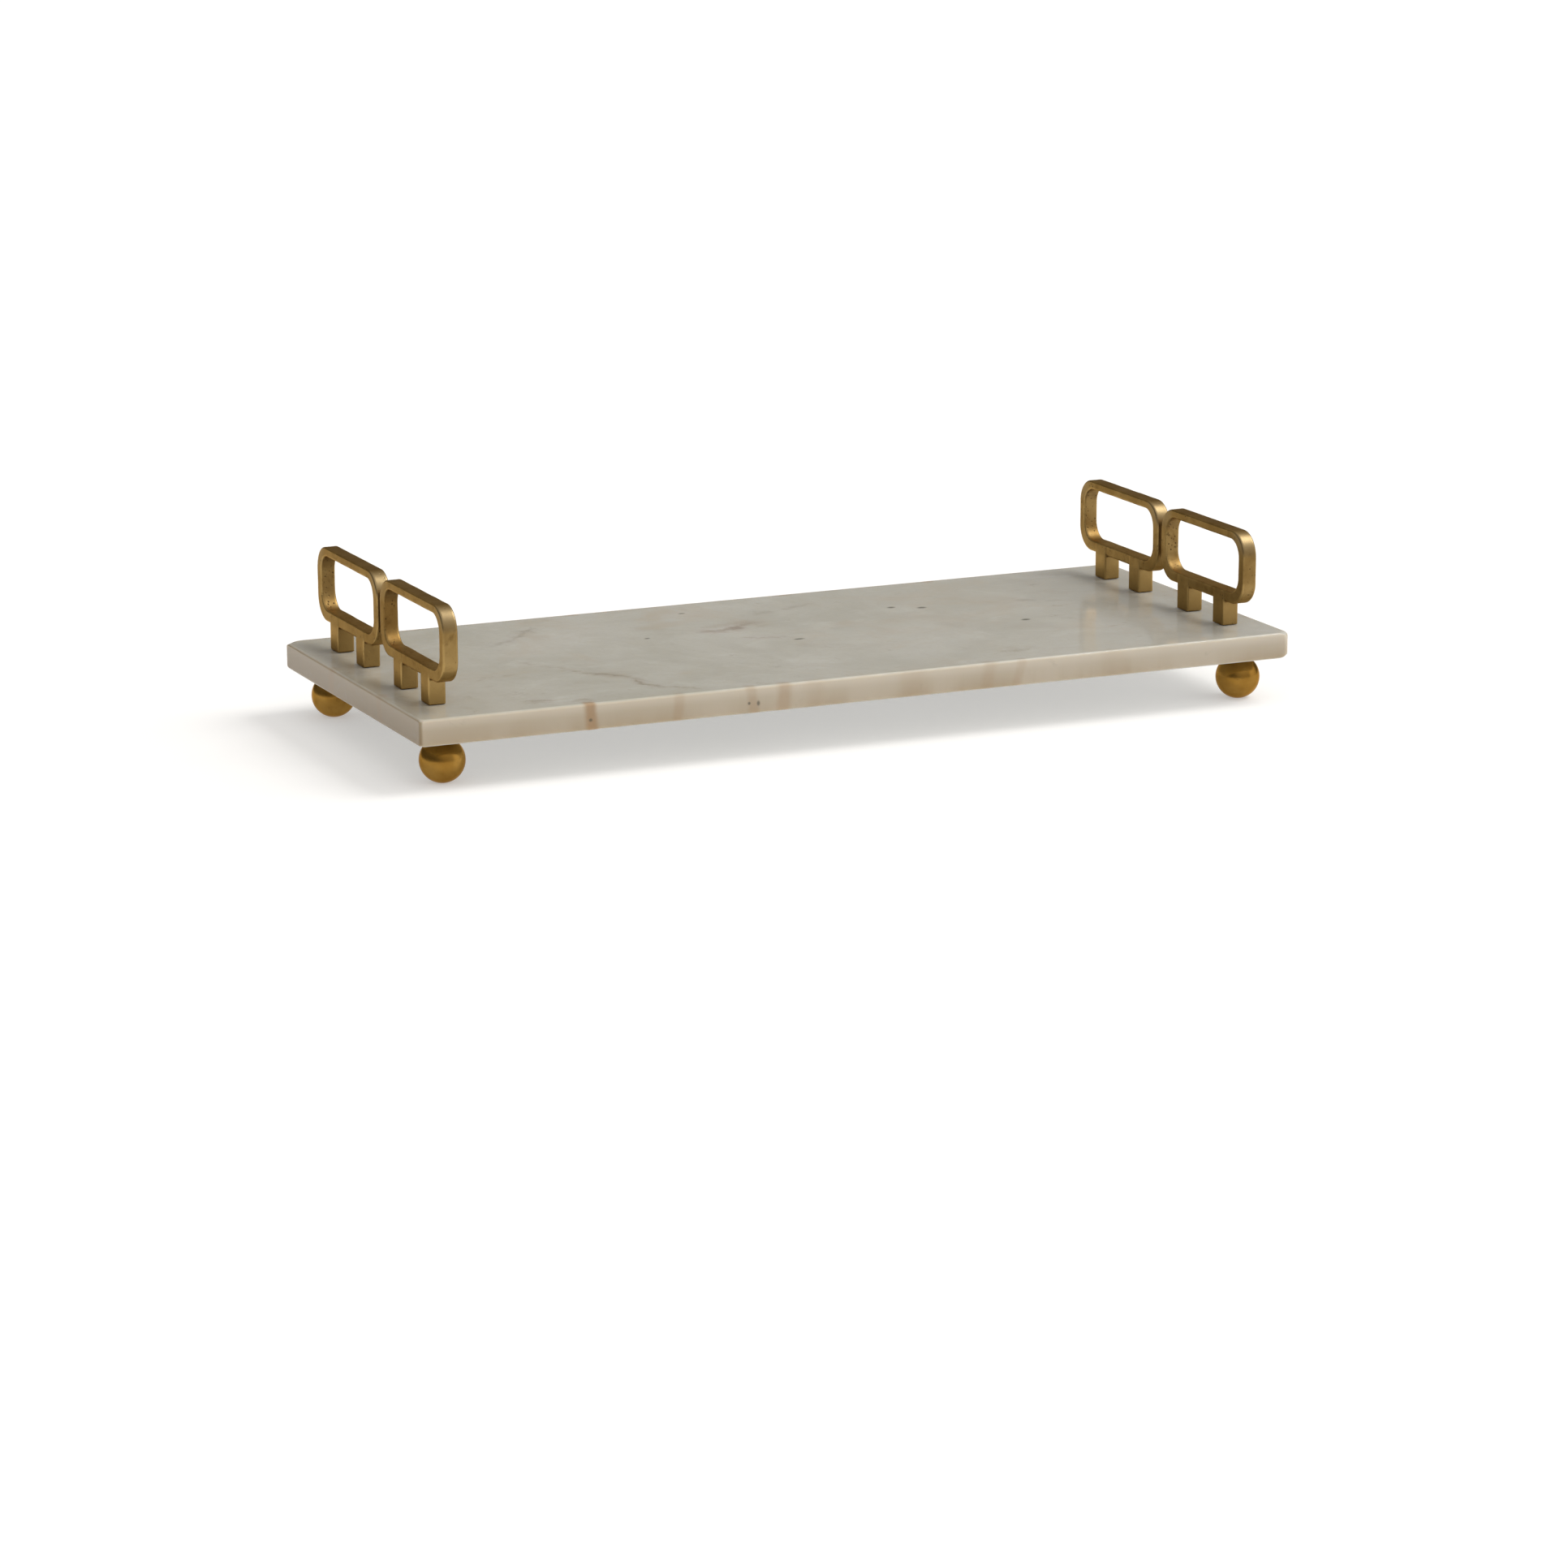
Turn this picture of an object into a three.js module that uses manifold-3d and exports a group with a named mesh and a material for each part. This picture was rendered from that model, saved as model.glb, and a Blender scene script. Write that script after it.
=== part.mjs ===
// Dresser vanity tray: a polished marble slab on four brass ball feet, with a carrying handle at each
// short end. Each handle is a pair of brass loops standing side by side on square legs.
// Millimetres, +Z up. The origin is on the table, under the middle of the tray: +X runs along the tray
// to its right-hand handle, and -Y is the front long side.

import * as THREE from 'three';
import { mergeVertices } from 'three/addons/utils/BufferGeometryUtils.js';
import Module from 'manifold-3d';

const wasm = await Module();
wasm.setup();

// ---- driving dimensions -------------------------------------------------------------------------

const FIT_GAP = 0.3;              // clearance kept between pieces that touch or screw together

const SLAB_LENGTH = 530;
const SLAB_WIDTH = 221.4;
const SLAB_THICKNESS = 15;
const SLAB_ARRIS = 1.6;           // rounding of the edges

const BALL_DIAMETER = 25.4;
const BALL_REST_FLAT = 5;         // diameter of the small flat each ball stands on
const BALL_NECK_DIAMETER = 9;     // short turned neck that seats under the slab
const FOOT_INSET_X = 20.9;        // ball centre from the slab's short end
const FOOT_INSET_Y = 23.4;        // ball centre from the slab's long side
const SLAB_UNDERSIDE = 25.8;      // height of the slab's underside above the table

const LINK_DEPTH = 8.8;           // a loop's size along the tray
const LINK_WIDTH = 99;            // a loop's size across the tray
const LINK_HEIGHT = 42.6;         // a loop without its legs
const LINK_PITCH = 103.4;         // middle of one loop to the middle of its neighbour
const LINK_INSET = 21.8;          // middle of a handle from the slab's short end
const LINK_OUTER_RADIUS = 14;
const LINK_INNER_RADIUS = 10;
const LINK_SIDE_BAR = 6.4;
const LINK_TOP_BAR = 5.1;
const LINK_BOTTOM_BAR = 6.6;
const LINK_ARRIS = 0.7;
const LEG_WIDTH = 12.7;
const LEG_DEPTH = 10;             // slightly proud of the loop's two faces
const LEG_TAPER_HEIGHT = 6;       // over this height of the bottom bar a leg runs into the loop's faces
const LEG_TAPER_DEPTH = 8.6;      // a leg's depth at the top of its taper, inside the loop
const LEG_CORNER_RADIUS = 1;
const LEG_ARRIS = 0.4;
const LEG_HEIGHT = 14.6;          // slab's top face to a loop's underside
const LEG_OFFSET = 21.4;          // middle of a leg from the middle of its loop

const THREAD_DIAMETER = 5;        // M5 throughout
const TAPPED_DEPTH = 12;
const SCREW_LENGTH = 20;
const SCREW_HEAD_DIAMETER = 9.5;
const SCREW_HEAD_HEIGHT = 2.75;
const SCREW_HEX_ACROSS_FLATS = 3;
const SCREW_HEX_DEPTH = 1.6;
const SCREW_TIP_CHAMFER = 0.6;
const WASHER_DIAMETER = 10;
const WASHER_THICKNESS = 1;
const COUNTERBORE_DIAMETER = 12.5;
const COUNTERBORE_DEPTH = 5.5;

const INSERT_DIAMETER = 8;
const INSERT_LENGTH = 9;
const INSERT_GROOVE_DEPTH = 0.5;
const STUD_LENGTH = 20;
const STUD_CHAMFER = 0.5;

// The slab's upright corners, anticlockwise from the back right one: the corner's side along X and Y,
// its radius half-way up the slab, how much larger that radius is on the top and the underside, and how
// much further down the rounding reaches in the middle of the corner, where polishing takes off more.
// The front left corner has been polished least.
const SLAB_CORNERS = [
  { sideX: 1, sideY: 1, radius: 4, flare: 4, softening: 1.8 },
  { sideX: -1, sideY: 1, radius: 5, flare: 6, softening: 2.6 },
  { sideX: -1, sideY: -1, radius: 2, flare: 0.8, softening: 0.3 },
  { sideX: 1, sideY: -1, radius: 4, flare: 4, softening: 1.8 },
];

const ROUND_SEGMENTS = 16;        // sides of small turned pieces and drilled holes
const BALL_SEGMENTS = 26;
const BALL_ARC_STEPS = 14;
const LINK_CORNER_SEGMENTS = 6;
const SLAB_CORNER_STEPS = 6;
const SLAB_ARRIS_STEPS = 3;

// ---- heights and places worked out from them ----------------------------------------------------

const SLAB_TOP = SLAB_UNDERSIDE + SLAB_THICKNESS;
const HOLE_DIAMETER = THREAD_DIAMETER + 2 * FIT_GAP;
const NECK_TOP = SLAB_UNDERSIDE - FIT_GAP;
const LEG_BOTTOM = SLAB_TOP + FIT_GAP;
const COUNTERBORE_CEILING = SLAB_UNDERSIDE + COUNTERBORE_DEPTH;
const WASHER_BOTTOM = COUNTERBORE_CEILING - FIT_GAP - WASHER_THICKNESS;
const SCREW_SHOULDER = WASHER_BOTTOM - FIT_GAP;
const INSERT_BOTTOM = SLAB_UNDERSIDE + FIT_GAP;
const INSERT_POCKET_CEILING = INSERT_BOTTOM + INSERT_LENGTH + FIT_GAP;
const STUD_BOTTOM = NECK_TOP - TAPPED_DEPTH + FIT_GAP;

const HANDLES = [['left', -1], ['right', 1]];
const ROWS = [['front', -1], ['back', 1]];
const HANDLE_X = SLAB_LENGTH / 2 - LINK_INSET;
const FOOT_X = SLAB_LENGTH / 2 - FOOT_INSET_X;
const FOOT_Y = SLAB_WIDTH / 2 - FOOT_INSET_Y;

// Every leg of every loop: its name, its handle's sign along X and its own place across the tray.
const LEGS = [];
for (const [handle, sideX] of HANDLES) {
  for (const [row, sideY] of ROWS) {
    for (const [leg, legSide] of ROWS) {
      LEGS.push({
        name: `${handle}_${row}_link_${leg}`,
        x: sideX * HANDLE_X,
        y: sideY * LINK_PITCH / 2 + legSide * LEG_OFFSET,
      });
    }
  }
}

const FEET = [];
for (const [handle, sideX] of HANDLES) {
  for (const [row, sideY] of ROWS) {
    FEET.push({ name: `${handle}_${row}`, x: sideX * FOOT_X, y: sideY * FOOT_Y });
  }
}

// ---- materials ----------------------------------------------------------------------------------

const finishes = {
  marble: { color: 0xcdc5b8, roughness: 0.2, metalness: 0 },
  satinBrass: { color: 0xa98a55, roughness: 0.36, metalness: 1 },
  polishedBrass: { color: 0xa47a3c, roughness: 0.18, metalness: 1 },
  insertBrass: { color: 0xb59a5e, roughness: 0.45, metalness: 1 },
  steel: { color: 0x9a9c9e, roughness: 0.35, metalness: 1 },
};

const tray = new THREE.Group();

function addPiece(name, geometry, finish, x, y, z) {
  const mesh = new THREE.Mesh(geometry, new THREE.MeshStandardMaterial(finishes[finish]));
  mesh.name = name;
  mesh.position.set(x, y, z);
  tray.add(mesh);
  return mesh;
}

// ---- solids -------------------------------------------------------------------------------------

// The geometry with only its positions, shared vertices merged and collapsed triangles dropped.
function closedMesh(geometry) {
  const bare = geometry.clone();
  bare.deleteAttribute('normal');
  bare.deleteAttribute('uv');
  const merged = mergeVertices(bare, 1e-4);
  const corners = merged.index.array;
  const kept = [];
  for (let i = 0; i < corners.length; i += 3) {
    const [a, b, c] = corners.slice(i, i + 3);
    if (a !== b && b !== c && c !== a) {
      kept.push(a, b, c);
    }
  }
  merged.setIndex(kept);
  return merged;
}

function solidFrom(geometry) {
  const merged = closedMesh(geometry);
  const mesh = new wasm.Mesh({
    numProp: 3,
    vertProperties: new Float32Array(merged.attributes.position.array),
    triVerts: new Uint32Array(merged.index.array),
  });
  return new wasm.Manifold(mesh);
}

function geometryFrom(solid) {
  const mesh = solid.getMesh();
  const geometry = new THREE.BufferGeometry();
  geometry.setAttribute('position', new THREE.BufferAttribute(mesh.vertProperties, 3));
  geometry.setIndex(new THREE.BufferAttribute(mesh.triVerts, 1));
  geometry.computeVertexNormals();
  return geometry;
}

// A vertical prism with the given number of sides; its length runs from bottom to top.
function upright(diameter, bottom, top, x = 0, y = 0, sides = ROUND_SEGMENTS) {
  const prism = new THREE.CylinderGeometry(diameter / 2, diameter / 2, top - bottom, sides);
  prism.rotateX(Math.PI / 2);
  prism.translate(x, y, (bottom + top) / 2);
  return prism;
}

function cut(geometry, tools) {
  let solid = solidFrom(geometry);
  for (const tool of tools) {
    solid = solid.subtract(solidFrom(tool));
  }
  return geometryFrom(solid);
}

// A solid turned about the Z axis, from [radius, height] pairs listed anticlockwise, seen with the
// axis on the left. The list starts and ends on the axis, or closes on itself.
function turned(profile, sides) {
  const points = profile.map(([radius, height]) => new THREE.Vector2(radius, height));
  const lathe = new THREE.LatheGeometry(points, sides);
  lathe.rotateX(Math.PI / 2);
  return closedMesh(lathe);
}

function roundedRectangle(path, left, bottom, right, top, radius, clockwise = false) {
  const corners = [
    [right - radius, bottom + radius, -Math.PI / 2],
    [right - radius, top - radius, 0],
    [left + radius, top - radius, Math.PI / 2],
    [left + radius, bottom + radius, Math.PI],
  ];
  const turn = clockwise ? -Math.PI / 2 : Math.PI / 2;
  if (clockwise) {
    corners.reverse();
  }
  for (const [x, y, start] of corners) {
    const from = clockwise ? start + Math.PI / 2 : start;
    path.absarc(x, y, radius, from, from + turn, clockwise);
  }
  path.closePath();
}

// ---- marble slab --------------------------------------------------------------------------------

// One level of the slab's rounded edge. The lift runs from 0, where the rounding starts on the upright
// sides, to 90 degrees, where it ends on the flat top (side 1) or underside (side -1).
function slabRing(side, lift) {
  const face = side > 0 ? SLAB_TOP : SLAB_UNDERSIDE;
  const inset = SLAB_ARRIS * (1 - Math.cos(lift));
  const points = [];
  SLAB_CORNERS.forEach(({ sideX, sideY, radius, flare, softening }, quarter) => {
    const reach = radius + flare * (1 - Math.cos(lift));
    for (let i = 0; i <= SLAB_CORNER_STEPS; i += 1) {
      const angle = Math.PI / 2 * (quarter + i / SLAB_CORNER_STEPS);
      const depth = SLAB_ARRIS + softening * Math.sin(Math.PI * i / SLAB_CORNER_STEPS) ** 2;
      points.push([
        sideX * (SLAB_LENGTH / 2 - inset - reach) + reach * Math.cos(angle),
        sideY * (SLAB_WIDTH / 2 - inset - reach) + reach * Math.sin(angle),
        face - side * depth * (1 - Math.sin(lift)),
      ]);
    }
  });
  return points;
}

// Rings of equally many points, bottom one first, joined into a closed block with flat ends.
function lofted(rings) {
  const count = rings[0].length;
  const corners = [];
  for (let level = 0; level < rings.length - 1; level += 1) {
    for (let i = 0; i < count; i += 1) {
      const j = (i + 1) % count;
      const low = level * count;
      const high = low + count;
      corners.push(low + i, low + j, high + j, low + i, high + j, high + i);
    }
  }
  const last = (rings.length - 1) * count;
  const bottomMiddle = rings.length * count;
  const topMiddle = bottomMiddle + 1;
  for (let i = 0; i < count; i += 1) {
    const j = (i + 1) % count;
    corners.push(bottomMiddle, j, i, topMiddle, last + i, last + j);
  }
  const points = [...rings.flat(), [0, 0, rings[0][0][2]], [0, 0, rings[rings.length - 1][0][2]]];
  const geometry = new THREE.BufferGeometry();
  geometry.setAttribute('position', new THREE.Float32BufferAttribute(points.flat(), 3));
  geometry.setIndex(corners);
  return geometry;
}

function slabGeometry() {
  const rings = [];
  for (let i = 0; i <= SLAB_ARRIS_STEPS; i += 1) {
    rings.push(slabRing(-1, Math.PI / 2 * (1 - i / SLAB_ARRIS_STEPS)));
  }
  for (let i = 0; i <= SLAB_ARRIS_STEPS; i += 1) {
    rings.push(slabRing(1, Math.PI / 2 * i / SLAB_ARRIS_STEPS));
  }
  const block = lofted(rings);

  const drilled = [];
  for (const leg of LEGS) {
    drilled.push(upright(HOLE_DIAMETER, SLAB_UNDERSIDE - 1, SLAB_TOP + 1, leg.x, leg.y));
    drilled.push(upright(COUNTERBORE_DIAMETER, SLAB_UNDERSIDE - 1, COUNTERBORE_CEILING, leg.x, leg.y));
  }
  for (const foot of FEET) {
    drilled.push(upright(INSERT_DIAMETER + 2 * FIT_GAP, SLAB_UNDERSIDE - 1, INSERT_POCKET_CEILING,
      foot.x, foot.y));
  }
  return cut(block, drilled);
}

// ---- handle loops -------------------------------------------------------------------------------

// One casting: a rounded rectangular loop with two square legs under it. The loop is drawn across the
// tray (x of the outline) and upwards (y of the outline), then extruded along the tray. z = 0 is the
// bottom of the legs.
function linkGeometry() {
  const half = LINK_WIDTH / 2;
  const bottom = LEG_HEIGHT - FIT_GAP;
  const top = bottom + LINK_HEIGHT;

  const outline = new THREE.Shape();
  roundedRectangle(outline, -half, bottom, half, top, LINK_OUTER_RADIUS);
  const window = new THREE.Path();
  roundedRectangle(window, -half + LINK_SIDE_BAR, bottom + LINK_BOTTOM_BAR, half - LINK_SIDE_BAR,
    top - LINK_TOP_BAR, LINK_INNER_RADIUS, true);
  outline.holes.push(window);
  const loop = new THREE.ExtrudeGeometry(outline, {
    depth: LINK_DEPTH - 2 * LINK_ARRIS,
    curveSegments: LINK_CORNER_SEGMENTS,
    bevelThickness: LINK_ARRIS,
    bevelSize: LINK_ARRIS,
    bevelOffset: -LINK_ARRIS,
    bevelSegments: 2,
  });
  loop.translate(0, 0, LINK_ARRIS - LINK_DEPTH / 2);
  // Outline x becomes Y, outline y becomes Z and the extrusion becomes X.
  loop.rotateX(Math.PI / 2);
  loop.rotateZ(Math.PI / 2);

  const section = new THREE.Shape();
  roundedRectangle(section, -LEG_DEPTH / 2, -LEG_WIDTH / 2, LEG_DEPTH / 2, LEG_WIDTH / 2, LEG_CORNER_RADIUS);
  const post = new THREE.ExtrudeGeometry(section, {
    depth: bottom - LEG_ARRIS,
    curveSegments: 3,
    bevelThickness: LEG_ARRIS,
    bevelSize: LEG_ARRIS,
    bevelOffset: -LEG_ARRIS,
    bevelSegments: 1,
  });
  post.translate(0, 0, LEG_ARRIS);
  const taperTop = new THREE.BoxGeometry(LEG_TAPER_DEPTH, LEG_WIDTH, LEG_ARRIS);
  taperTop.translate(0, 0, bottom + LEG_TAPER_HEIGHT - LEG_ARRIS / 2);
  const leg = solidFrom(post).add(solidFrom(taperTop)).hull();

  let casting = solidFrom(loop);
  for (const y of [-LEG_OFFSET, LEG_OFFSET]) {
    casting = casting.add(leg.translate([0, y, 0]));
  }
  for (const y of [-LEG_OFFSET, LEG_OFFSET]) {
    casting = casting.subtract(solidFrom(upright(HOLE_DIAMETER, -1, TAPPED_DEPTH, 0, y)));
  }
  return geometryFrom(casting);
}

// ---- fasteners and feet -------------------------------------------------------------------------

// A button-head screw: z = 0 is under its head, the thread points up and the head hangs below.
function screwGeometry() {
  const r = THREAD_DIAMETER / 2;
  const headR = SCREW_HEAD_DIAMETER / 2;
  const blank = turned([
    [0, -SCREW_HEAD_HEIGHT],
    [headR * 0.62, -SCREW_HEAD_HEIGHT],
    [headR * 0.86, -SCREW_HEAD_HEIGHT * 0.7],
    [headR * 0.97, -SCREW_HEAD_HEIGHT * 0.35],
    [headR, 0],
    [r, 0],
    [r, SCREW_LENGTH - SCREW_TIP_CHAMFER],
    [r - SCREW_TIP_CHAMFER, SCREW_LENGTH],
    [0, SCREW_LENGTH],
  ], ROUND_SEGMENTS);
  const hexDiameter = SCREW_HEX_ACROSS_FLATS / Math.cos(Math.PI / 6);
  const socket = upright(hexDiameter, -SCREW_HEAD_HEIGHT - 1, -SCREW_HEAD_HEIGHT + SCREW_HEX_DEPTH, 0, 0, 6);
  return cut(blank, [socket]);
}

function washerGeometry() {
  return turned([
    [HOLE_DIAMETER / 2, 0],
    [WASHER_DIAMETER / 2, 0],
    [WASHER_DIAMETER / 2, WASHER_THICKNESS],
    [HOLE_DIAMETER / 2, WASHER_THICKNESS],
    [HOLE_DIAMETER / 2, 0],
  ], ROUND_SEGMENTS);
}

// A ball foot with a small flat to stand on, a short neck on top and a blind tapped hole in the neck.
function ballFootGeometry() {
  const r = BALL_DIAMETER / 2;
  const flatAngle = Math.asin(BALL_REST_FLAT / 2 / r);
  const neckAngle = Math.asin(BALL_NECK_DIAMETER / 2 / r);
  const centre = r * Math.cos(flatAngle);
  const profile = [[0, 0]];
  for (let i = 0; i <= BALL_ARC_STEPS; i += 1) {
    const angle = flatAngle + (Math.PI - neckAngle - flatAngle) * (i / BALL_ARC_STEPS);
    profile.push([r * Math.sin(angle), centre - r * Math.cos(angle)]);
  }
  profile.push([BALL_NECK_DIAMETER / 2, NECK_TOP]);
  profile.push([HOLE_DIAMETER / 2, NECK_TOP]);
  profile.push([HOLE_DIAMETER / 2, NECK_TOP - TAPPED_DEPTH]);
  profile.push([0, NECK_TOP - TAPPED_DEPTH]);
  return turned(profile, BALL_SEGMENTS);
}

// A plain threaded rod with chamfered ends.
function studGeometry() {
  const r = THREAD_DIAMETER / 2;
  return turned([
    [0, 0],
    [r - STUD_CHAMFER, 0],
    [r, STUD_CHAMFER],
    [r, STUD_LENGTH - STUD_CHAMFER],
    [r - STUD_CHAMFER, STUD_LENGTH],
    [0, STUD_LENGTH],
  ], ROUND_SEGMENTS);
}

// A threaded insert with one glue groove round its middle.
function insertGeometry() {
  const outer = INSERT_DIAMETER / 2;
  const bore = HOLE_DIAMETER / 2;
  const lower = INSERT_LENGTH / 3;
  const upper = 2 * INSERT_LENGTH / 3;
  return turned([
    [bore, 0],
    [outer, 0],
    [outer, lower],
    [outer - INSERT_GROOVE_DEPTH, lower],
    [outer - INSERT_GROOVE_DEPTH, upper],
    [outer, upper],
    [outer, INSERT_LENGTH],
    [bore, INSERT_LENGTH],
    [bore, 0],
  ], ROUND_SEGMENTS);
}

// ---- assembly -----------------------------------------------------------------------------------

addPiece('marble_slab', slabGeometry(), 'marble', 0, 0, 0);

const link = linkGeometry();
for (const [handle, sideX] of HANDLES) {
  for (const [row, sideY] of ROWS) {
    addPiece(`${handle}_${row}_link`, link, 'satinBrass', sideX * HANDLE_X, sideY * LINK_PITCH / 2,
      LEG_BOTTOM);
  }
}

const screw = screwGeometry();
const washer = washerGeometry();
for (const leg of LEGS) {
  addPiece(`${leg.name}_screw`, screw, 'steel', leg.x, leg.y, SCREW_SHOULDER);
  addPiece(`${leg.name}_washer`, washer, 'steel', leg.x, leg.y, WASHER_BOTTOM);
}

const ball = ballFootGeometry();
const stud = studGeometry();
const insert = insertGeometry();
for (const foot of FEET) {
  addPiece(`${foot.name}_ball_foot`, ball, 'polishedBrass', foot.x, foot.y, 0);
  addPiece(`${foot.name}_foot_stud`, stud, 'steel', foot.x, foot.y, STUD_BOTTOM);
  addPiece(`${foot.name}_foot_insert`, insert, 'insertBrass', foot.x, foot.y, INSERT_BOTTOM);
}

export default tray;
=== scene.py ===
"""Dresser vanity tray: a polished marble slab on brass ball feet, with paired brass loops for handles.

The CAD model in the frame fixes every place and size. This script makes the finished surfaces: each
CAD node is replaced by a finer piece of the same shape, with a procedural material. Metres, +Z up.
"""
import math
from itertools import product

import bmesh
import bpy
import numpy as np
from mathutils import Matrix, Vector


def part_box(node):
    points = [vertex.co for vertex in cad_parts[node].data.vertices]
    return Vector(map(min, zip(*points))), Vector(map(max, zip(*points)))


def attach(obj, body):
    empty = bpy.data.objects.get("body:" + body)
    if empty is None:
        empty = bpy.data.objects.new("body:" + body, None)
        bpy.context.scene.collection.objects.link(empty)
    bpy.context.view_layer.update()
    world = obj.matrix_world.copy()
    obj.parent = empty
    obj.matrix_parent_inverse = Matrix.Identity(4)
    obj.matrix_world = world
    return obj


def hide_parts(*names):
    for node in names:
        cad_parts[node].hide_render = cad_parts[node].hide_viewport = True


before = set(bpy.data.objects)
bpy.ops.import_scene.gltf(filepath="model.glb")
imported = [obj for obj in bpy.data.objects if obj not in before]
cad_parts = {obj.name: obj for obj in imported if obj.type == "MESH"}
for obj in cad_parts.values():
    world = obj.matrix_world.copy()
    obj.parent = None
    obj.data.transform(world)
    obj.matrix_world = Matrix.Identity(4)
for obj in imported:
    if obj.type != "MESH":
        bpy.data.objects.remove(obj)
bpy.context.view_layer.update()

MM = 0.001

# ---- places and sizes -----------------------------------------------------------------------------

# The slab's reach along the tray and across it, and the height of its top face.
SLAB_END, SLAB_SIDE, SLAB_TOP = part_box("marble_slab")[1]

SLAB_ARRIS = 1.6 * MM
SLAB_ARRIS_STEPS = 8
SLAB_CORNER_STEPS = 12
# Each upright corner of the slab: its side in x and y, its radius half-way up the slab, how much larger
# the radius is on the flat faces, and how much further down the rounding reaches in the middle of the
# corner. The front left one has been polished least.
SLAB_CORNERS = (
    (1, 1, 4 * MM, 4 * MM, 1.8 * MM),
    (-1, 1, 5 * MM, 6 * MM, 2.6 * MM),
    (-1, -1, 2 * MM, 0.8 * MM, 0.3 * MM),
    (1, -1, 4 * MM, 4 * MM, 1.8 * MM),
)
COUNTERBORE_RADIUS = 6.25 * MM
COUNTERBORE_DEPTH = 5.5 * MM
HOLE_RADIUS = 2.8 * MM
POCKET_RADIUS = 4.3 * MM
POCKET_DEPTH = 9.6 * MM

LOOP_DEPTH = 8.8 * MM
LOOP_HEIGHT = 42.6 * MM
LOOP_OUTER_RADIUS = 14 * MM
LOOP_INNER_RADIUS = 10 * MM
SIDE_BAR = 6.4 * MM
TOP_BAR = 5.1 * MM
BOTTOM_BAR = 6.6 * MM
LOOP_ARRIS = 1.1 * MM
LEG_HEIGHT = 14.3 * MM
LEG_TOP = SLAB_TOP + LEG_HEIGHT
LEG_WIDTH = 12.7 * MM
LEG_OFFSET = 21.4 * MM
LEG_CORNER = 0.8 * MM
LEG_ARRIS = 0.5 * MM
LEG_TAPER_HEIGHT = 6 * MM
LEG_TAPER = 0.8 * MM
LEG_BLEND = 0.9 * MM
TAPPED_DEPTH = 12 * MM
CASTING_STEP = 0.5 * MM           # grid that the castings are meshed on
SNAP_PASSES = 6                   # times that the mesh is moved onto its surface
WAVE_DEPTH = 0.12 * MM            # how deep hand finishing goes
WAVE_COUNT = 8
WAVE_NUMBERS = (150, 520)         # radians for each metre
EDGE_REACH = 0.5 * MM             # distance over which an edge or an inside corner is felt
EDGE_GAIN = 2.2

BALL_RADIUS = 12.7 * MM
BALL_FLAT_RADIUS = 2.5 * MM
NECK_RADIUS = 4.5 * MM
NECK_EDGE = 0.2 * MM

THREAD_RADIUS = 2.5 * MM
THREAD_PITCH = 0.8 * MM
THREAD_DEPTH = 0.42 * MM
THREAD_FLANK = 2.4                # how steeply the groove's flanks rise
THREAD_ROWS = 8                   # rows of vertices for each turn
SCREW_SEGMENTS = 24
SCREW_HEAD_RADIUS = 4.75 * MM
SCREW_HEAD_HEIGHT = 2.75 * MM
SCREW_HEAD_EDGE = 0.05 * MM
SCREW_CROWN_RADIUS = 0.62 * SCREW_HEAD_RADIUS
SCREW_DOME_HEIGHT = 0.92 * SCREW_HEAD_HEIGHT
SCREW_NECK = 1.2 * MM             # plain shank between head and thread
SOCKET_ACROSS_FLATS = 3 * MM
SOCKET_DEPTH = 1.6 * MM
END_CHAMFER = 0.6 * MM
WASHER_EDGE = 0.15 * MM
INSERT_EDGE = 0.3 * MM
INSERT_GROOVE = 0.5 * MM

HANDLES = ("left", "right")
ROWS = ("front", "back")


# ---- mesh helpers -----------------------------------------------------------------------------------

def add_object(mesh, sharp_angle=None):
    """A smooth-shaded object of the mesh's name. The vertices are already in place in the frame."""
    mesh.shade_smooth()
    if sharp_angle is not None:
        mesh.set_sharp_from_angle(angle=math.radians(sharp_angle))
    piece = bpy.data.objects.new(mesh.name, mesh)
    bpy.context.scene.collection.objects.link(piece)
    return piece


def add_piece(name, vertices, faces, sharp_angle=None):
    mesh = bpy.data.meshes.new(name)
    mesh.from_pydata([tuple(v) for v in vertices], [], [tuple(f) for f in faces])
    mesh.update()
    return add_object(mesh, sharp_angle)


def add_bmesh(name, bm, sharp_angle):
    bmesh.ops.recalc_face_normals(bm, faces=bm.faces)
    mesh = bpy.data.meshes.new(name)
    bm.to_mesh(mesh)
    bm.free()
    return add_object(mesh, sharp_angle)


def finish_piece(piece, node, material):
    piece.data.materials.append(material)
    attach(piece, "root")
    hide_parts(node)


def node_centre(node):
    low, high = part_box(node)
    return (low + high) / 2


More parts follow.
